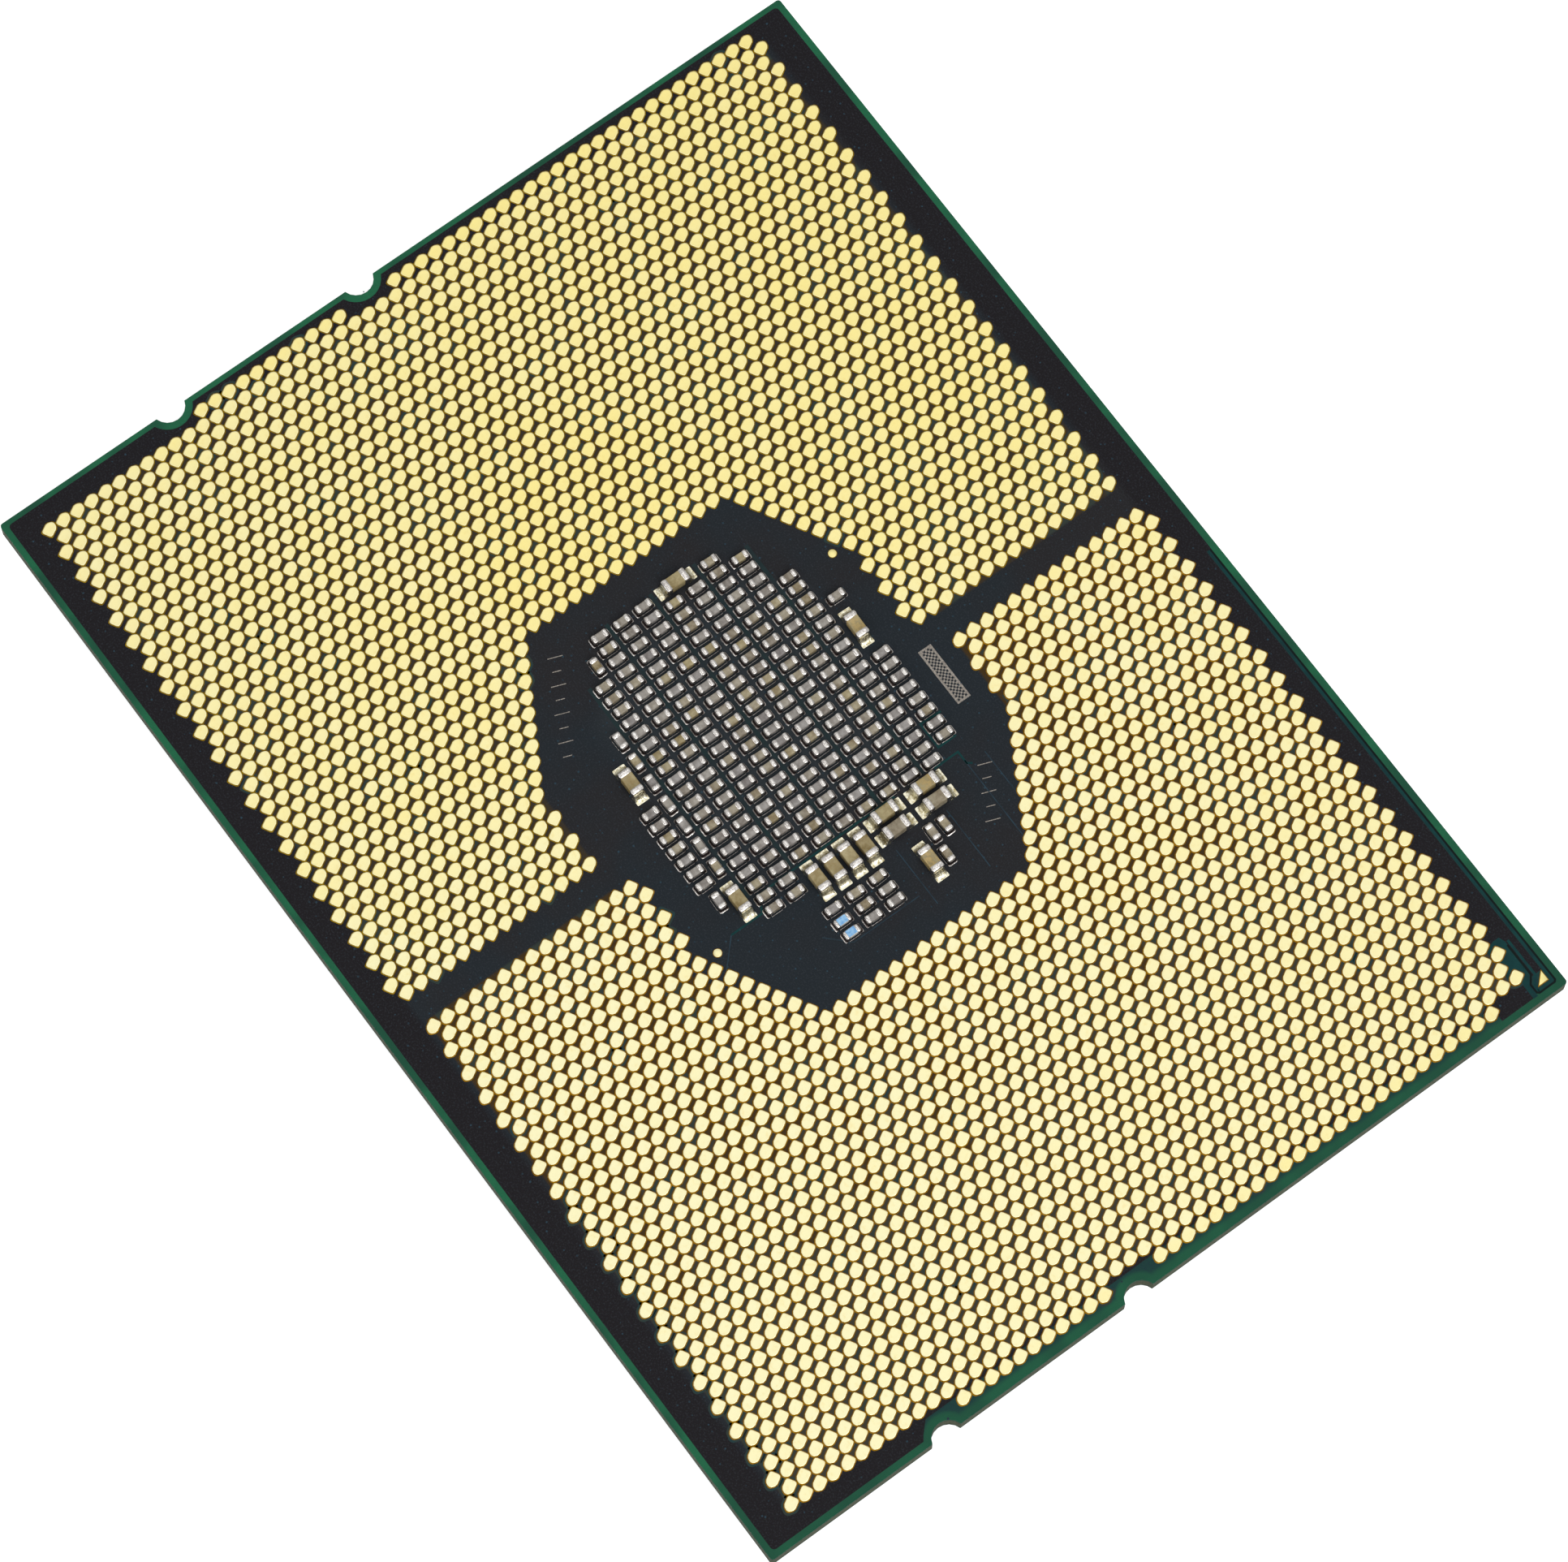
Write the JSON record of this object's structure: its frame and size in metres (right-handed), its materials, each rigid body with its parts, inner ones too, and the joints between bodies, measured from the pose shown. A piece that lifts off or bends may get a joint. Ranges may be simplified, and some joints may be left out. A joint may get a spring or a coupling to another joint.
{
  "type": "land grid array processor package",
  "caption": "Server processor package lying lid down: gold contact lands in two C-shaped fields round a cavity of ceramic capacitors, keyed short edges, metal heat spreader beneath.",
  "frame": {"origin": "centre of the bounding box's bottom, on the heat spreader's contact face", "axes": "+X along the long edge towards the pin-one end, +Y towards the pin-one edge, +Z the way the contact lands face"},
  "size_m": [0.076, 0.0564, 0.0055],
  "materials": {
    "nickel_plate": "satin nickel plate",
    "sealant": "matt",
    "thermal_metal": "soft matt metal",
    "silicon": "polished",
    "solder": "bright",
    "epoxy": "matt",
    "laminate": "matt sawn edge",
    "buildup": "matt sawn edge",
    "solder_mask": "satin",
    "gold_plate": "matt gold plate",
    "chip_ceramic": "matt",
    "chip_ceramic_tan": "matt",
    "resistor_body": "gloss"
  },
  "bodies": {
    "root": {"buildup_die_side": "buildup", "buildup_land_side": "buildup", "capacitor_block_row_1": "chip_ceramic", "capacitor_block_row_2": "chip_ceramic", "capacitor_block_row_3": "chip_ceramic", "capacitor_east_middle": "chip_ceramic", "capacitor_east_outer": "chip_ceramic", "capacitor_east_upper": "chip_ceramic", "capacitor_north": "chip_ceramic", "capacitor_row_01": "chip_ceramic", "capacitor_row_02": "chip_ceramic", "capacitor_row_03": "chip_ceramic", "capacitor_row_04": "chip_ceramic", "capacitor_row_05": "chip_ceramic", "capacitor_row_06": "chip_ceramic", "capacitor_row_07": "chip_ceramic", "capacitor_row_08": "chip_ceramic", "capacitor_row_09": "chip_ceramic", "capacitor_row_10": "chip_ceramic", "capacitor_row_11_lying": "chip_ceramic", "capacitor_row_12": "chip_ceramic", "capacitor_south": "chip_ceramic", "capacitor_west": "chip_ceramic", "die_side_capacitors_north": "chip_ceramic", "die_side_capacitors_south": "chip_ceramic", "fiducial_northwest": "gold_plate", "fiducial_southeast": "gold_plate", "heat_spreader": "nickel_plate", "land_field_east": "gold_plate", "land_field_west": "gold_plate", "large_capacitor_01": "chip_ceramic_tan", "large_capacitor_02": "chip_ceramic_tan", "large_capacitor_03": "chip_ceramic_tan", "large_capacitor_04": "chip_ceramic_tan", "large_capacitor_05": "chip_ceramic_tan", "large_capacitor_06": "chip_ceramic_tan", "large_capacitor_07": "chip_ceramic_tan", "large_capacitor_08": "chip_ceramic_tan", "large_capacitor_09": "chip_ceramic_tan", "large_capacitor_10": "chip_ceramic_tan", "large_capacitor_11": "chip_ceramic_tan", "large_capacitor_12": "chip_ceramic_tan", "large_capacitor_13": "chip_ceramic_tan", "lid_sealant": "sealant", "pin_one_mark": "gold_plate", "resistor_inner": "resistor_body", "resistor_outer": "resistor_body", "silicon_die": "silicon", "solder_bump_layer": "solder", "solder_mask_die_side": "solder_mask", "solder_mask_land_side": "solder_mask", "substrate_core": "laminate", "thermal_interface": "thermal_metal", "underfill": "epoxy"}
  },
  "joints": []
}
